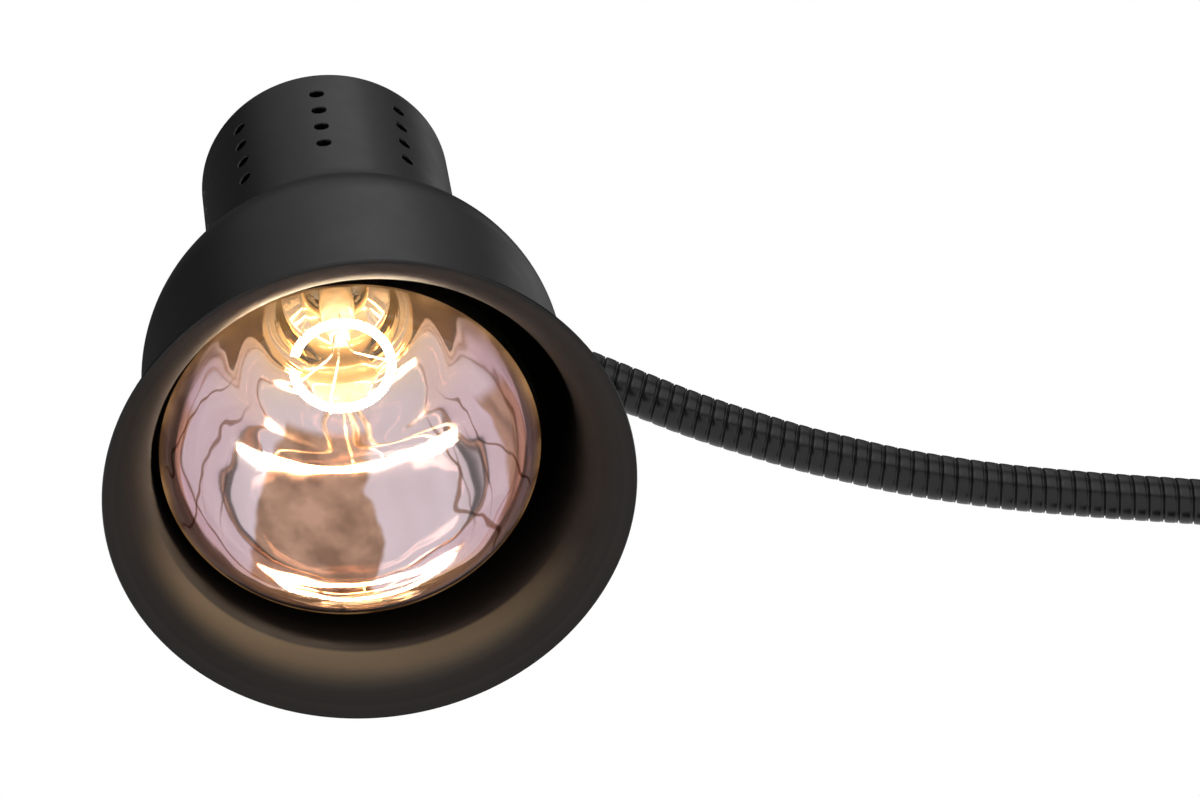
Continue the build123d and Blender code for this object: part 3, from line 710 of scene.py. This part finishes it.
def mirror_lining():
    """Silvering on the inside of blown glass: slow waves, painted reflections as brown lines and an amber patch on
    the far side, and a painted glow.
    """
    material, tree, shader = new_material("bulb_mirror")
    shader.inputs["Metallic"].default_value = 1.0
    shader.inputs["Roughness"].default_value = 0.045
    down, left, height = own_axes(tree, LAMP)
    angle = maths(tree, "ARCTAN2", left, down)
    silver = ramp(tree, noise(tree, 30.0, 3.0), [(0.3, (0.86, 0.76, 0.79)), (0.7, (0.93, 0.84, 0.88))])
    wobble = maths(tree, "MULTIPLY", maths(tree, "SUBTRACT", noise(tree, 42.0, 2.0).outputs["Fac"], 0.5), 0.5)
    turned_angle = maths(tree, "ADD", angle, wobble)
    # painted reflection: an amber patch on the far side, below the filament
    across = maths(tree, "ABSOLUTE", maths(tree, "SUBTRACT", turned_angle, REFLECTION_PATCH_MIDDLE), 0)
    sides = smooth_step(tree, across, REFLECTION_PATCH_HALF + 0.03, REFLECTION_PATCH_HALF - 0.03)
    low = smooth_step(tree, height, REFLECTION_PATCH_H0, REFLECTION_PATCH_H0 + 0.002)
    high = smooth_step(tree, height, REFLECTION_PATCH_H1, REFLECTION_PATCH_H1 - 0.004)
    patch = maths(tree, "MULTIPLY", sides, maths(tree, "MULTIPLY", low, high))
    # painted reflections: thin brown lines up the two flanks
    painted_reflection_lines = []
    for middle, width in REFLECTED_LINES:
        away = maths(tree, "ABSOLUTE", maths(tree, "SUBTRACT", turned_angle, middle), 0)
        painted_reflection_lines.append(smooth_step(tree, away, width, width * 0.3))
    painted_reflection_line = painted_reflection_lines[0]
    for other in painted_reflection_lines[1:]:
        painted_reflection_line = maths(tree, "MAXIMUM", painted_reflection_line, other)
    painted_reflection_line = maths(tree, "MULTIPLY", painted_reflection_line, smooth_step(tree, height, 0.095, 0.080))
    # painted light: gold where the neck of the bulb gathers the filament's light
    gold = smooth_step(tree, height, PAINTED_GOLD_H0, PAINTED_GOLD_H1)
    amber = ramp(tree, noise(tree, 70.0, 3.0), [(0.36, (0.34, 0.19, 0.11)), (0.66, (0.72, 0.46, 0.30))])
    colour = blend_colour(tree, silver.outputs["Color"], amber.outputs["Color"], patch)
    colour = blend_colour(tree, colour, (0.42, 0.26, 0.20), painted_reflection_line)
    colour = blend_colour(tree, colour, (1.0, 0.84, 0.62), gold)
    tree.links.new(colour, shader.inputs["Base Color"])
    # painted glow: a faint emission over the silver, none on the painted reflections, and a gold one at the neck
    glow = blend_colour(tree, (0.22, 0.17, 0.17), (0.0, 0.0, 0.0), maths(tree, "MAXIMUM", patch, painted_reflection_line))
    tree.links.new(blend_colour(tree, glow, (0.42, 0.28, 0.14), gold), shader.inputs["Emission Color"])
    shader.inputs["Emission Strength"].default_value = 0.10
    bump(tree, shader, noise(tree, 22.0, 2.0, (1, 1, 1), 0.4), 0.6, 0.0022)
    return material


def filament_glow():
    material, tree, shader = new_material("filament_glow")
    heat = noise(tree, 300.0, 2.0)
    tint = ramp(tree, heat, [(0.3, (1.0, 0.78, 0.50)), (0.7, (1.0, 0.88, 0.66))])
    tree.links.new(tint.outputs["Color"], shader.inputs["Emission Color"])
    shader.inputs["Emission Strength"].default_value = 130.0
    shader.inputs["Base Color"].default_value = (0.3, 0.3, 0.3, 1)
    return material


MATERIALS = {
    "shade_black": coated("shade_outside_black", (0.0045, 0.0046, 0.0046), 0.12, 0.30, 900.0,
                          0.00002),
    "neck_black": coated("neck_satin_black", (0.004, 0.004, 0.0042), 0.10, 0.24, 200.0, 0.000003),
    "fitting_black": coated("fitting_satin_black", (0.010, 0.010, 0.0105), 0.15, 0.30, 1400.0, 0.00002),
    "base_black": coated("base_powder_black", (0.011, 0.0112, 0.0112), 0.14, 0.38, 700.0, 0.00006),
    "rubber_black": moulded("rubber_black", (0.018, 0.018, 0.018), 0.8, 900.0, 0.0001),
    "zinc_steel": metal("zinc_plated_steel", (0.66, 0.66, 0.64), 0.32, 120.0),
    "ballast_iron": metal("ballast_cast_iron", (0.22, 0.22, 0.22), 0.65, 260.0, (1, 1, 1), 0.0004),
    "contact_brass": metal("contact_brass", (0.80, 0.60, 0.28), 0.28, 150.0),
    "cap_brass": metal("bulb_cap_metal", (0.76, 0.74, 0.70), 0.26, 180.0),
    "porcelain": moulded("glazed_porcelain", (0.86, 0.85, 0.81), 0.14, 120.0, 0.00003),
    "insulator_black": moulded("vitrite_black", (0.03, 0.02, 0.03), 0.1),
    "filament_wire": metal("support_wire", (0.60, 0.52, 0.42), 0.25, 300.0),
    "switch_black": moulded("switch_gloss_black", (0.02, 0.02, 0.02), 0.18, 900.0, 0.00001),
    "terminal_white": moulded("terminal_white", (0.80, 0.80, 0.77), 0.5),
    "lead_brown": moulded("lead_brown", (0.16, 0.07, 0.035), 0.42),
    "lead_blue": moulded("lead_blue", (0.04, 0.11, 0.34), 0.42),
    "bulb_glass": stem_glass(),
}


def dress_cad_nodes():
    """Every CAD node that still shows gets the material of its slot."""
    slots = {s["node"]: s["material_slot"] for s in frame["record"]["subparts"]}
    for name, obj in NODES.items():
        if obj.hide_render:
            continue
        for place in obj.material_slots:
            place.material = MATERIALS[slots[name]]


# ---------------------------------------------------------------- stage, light and camera
def build_stage():
    size = 30.0
    mesh = bpy.data.meshes.new("floor")
    mesh.from_pydata([(-size, -size, 0), (size, -size, 0), (size, size, 0), (-size, size, 0)], [],
                     [(0, 1, 2, 3)])
    floor = bpy.data.objects.new("floor", mesh)
    bpy.context.scene.collection.objects.link(floor)
    material, tree, shader = new_material("pale_floor")
    tint = ramp(tree, noise(tree, 2.0), [(0.3, (0.84, 0.84, 0.84)), (0.7, (0.87, 0.87, 0.87))])
    tree.links.new(tint.outputs["Color"], shader.inputs["Base Color"])
    shader.inputs["Roughness"].default_value = 0.7
    mesh.materials.append(material)


def build_world():
    """White to look at and to light by; what shines back is a tent, dark at the left and the horizon."""
    world = bpy.data.worlds.new("studio")
    bpy.context.scene.world = world
    world.use_nodes = True
    tree = world.node_tree
    place = node(tree, "ShaderNodeTexCoord")
    axes = node(tree, "ShaderNodeSeparateXYZ")
    tree.links.new(place.outputs["Generated"], axes.inputs["Vector"])
    x, y, z = (axes.outputs[k] for k in "XYZ")
    roof = smooth_step(tree, z, 0.62, 0.97)
    front = smooth_step(tree, maths(tree, "MULTIPLY", y, -1.0), 0.22, 0.74)
    risen = smooth_step(tree, z, 0.02, 0.22)
    roof = maths(tree, "MULTIPLY", roof, 0.38)
    tent = maths(tree, "MAXIMUM", roof, maths(tree, "MULTIPLY", front, risen))
    side = maths(tree, "MULTIPLY", smooth_step(tree, x, 0.15, 0.40), smooth_step(tree, y, 0.55, 0.80))
    side = maths(tree, "MULTIPLY", side, 0.45)
    light = maths(tree, "MAXIMUM", tent, side)
    background = tree.nodes["Background"]
    background.inputs["Color"].default_value = (1, 1, 1, 1)
    path = tree.nodes.new("ShaderNodeLightPath")
    shine = maths(tree, "ADD", maths(tree, "MULTIPLY", light, 0.95), 0.05)
    shine = maths(tree, "MAXIMUM", shine, maths(tree, "MULTIPLY", path.outputs["Is Diffuse Ray"], 0.85))
    tree.links.new(shine, background.inputs["Strength"])
    seen = tree.nodes.new("ShaderNodeBackground")
    seen.inputs["Color"].default_value = (1, 1, 1, 1)
    seen.inputs["Strength"].default_value = 1.0
    mix = tree.nodes.new("ShaderNodeMixShader")
    tree.links.new(path.outputs["Is Camera Ray"], mix.inputs["Fac"])
    tree.links.new(background.outputs["Background"], mix.inputs[1])
    tree.links.new(seen.outputs["Background"], mix.inputs[2])
    tree.links.new(mix.outputs["Shader"], tree.nodes["World Output"].inputs["Surface"])


def area_light(name, location, target, size, power, size_y=None):
    data = bpy.data.lights.new(name, "AREA")
    data.energy = power
    data.size = size
    if size_y:
        data.shape = "RECTANGLE"
        data.size_y = size_y
    light = bpy.data.objects.new(name, data)
    bpy.context.scene.collection.objects.link(light)
    light.location = location
    direction = Vector(target) - Vector(location)
    light.rotation_euler = direction.to_track_quat("-Z", "Y").to_euler()


def build_lights():
    head = tuple(RIM_CENTRE + HEAD_AXIS * 0.1)
    area_light("front_softbox", (-0.45, -2.6, 1.9), head, 0.9, 2.0, size_y=1.4)
    area_light("top_softbox", (-0.25, -0.1, 2.6), head, 1.3, 2.0)


def build_camera():
    """Low in front, looking 15 degrees up at the head."""
    data = bpy.data.cameras.new("camera")
    data.lens = 153.0
    data.sensor_width = 36.0
    camera = bpy.data.objects.new("camera", data)
    bpy.context.scene.collection.objects.link(camera)
    camera.location = (-0.320, -1.895, 0.050)
    camera.rotation_euler = (radians(90 + 15), 0, 0)
    bpy.context.scene.camera = camera
    bpy.context.scene.view_settings.view_transform = "Standard"


# ---------------------------------------------------------------- build
build_camera()
build_world()
build_lights()
build_stage()
build_shade(MATERIALS["shade_black"], shade_inside())
build_bulb(clear_glass(), metal("bulb_silvered_back", (0.74, 0.73, 0.72), 0.22, 200.0), mirror_lining())
build_filament(filament_glow())
build_neck(MATERIALS["neck_black"], Centreline())
dress_cad_nodes()

bpy.context.view_layer.update()
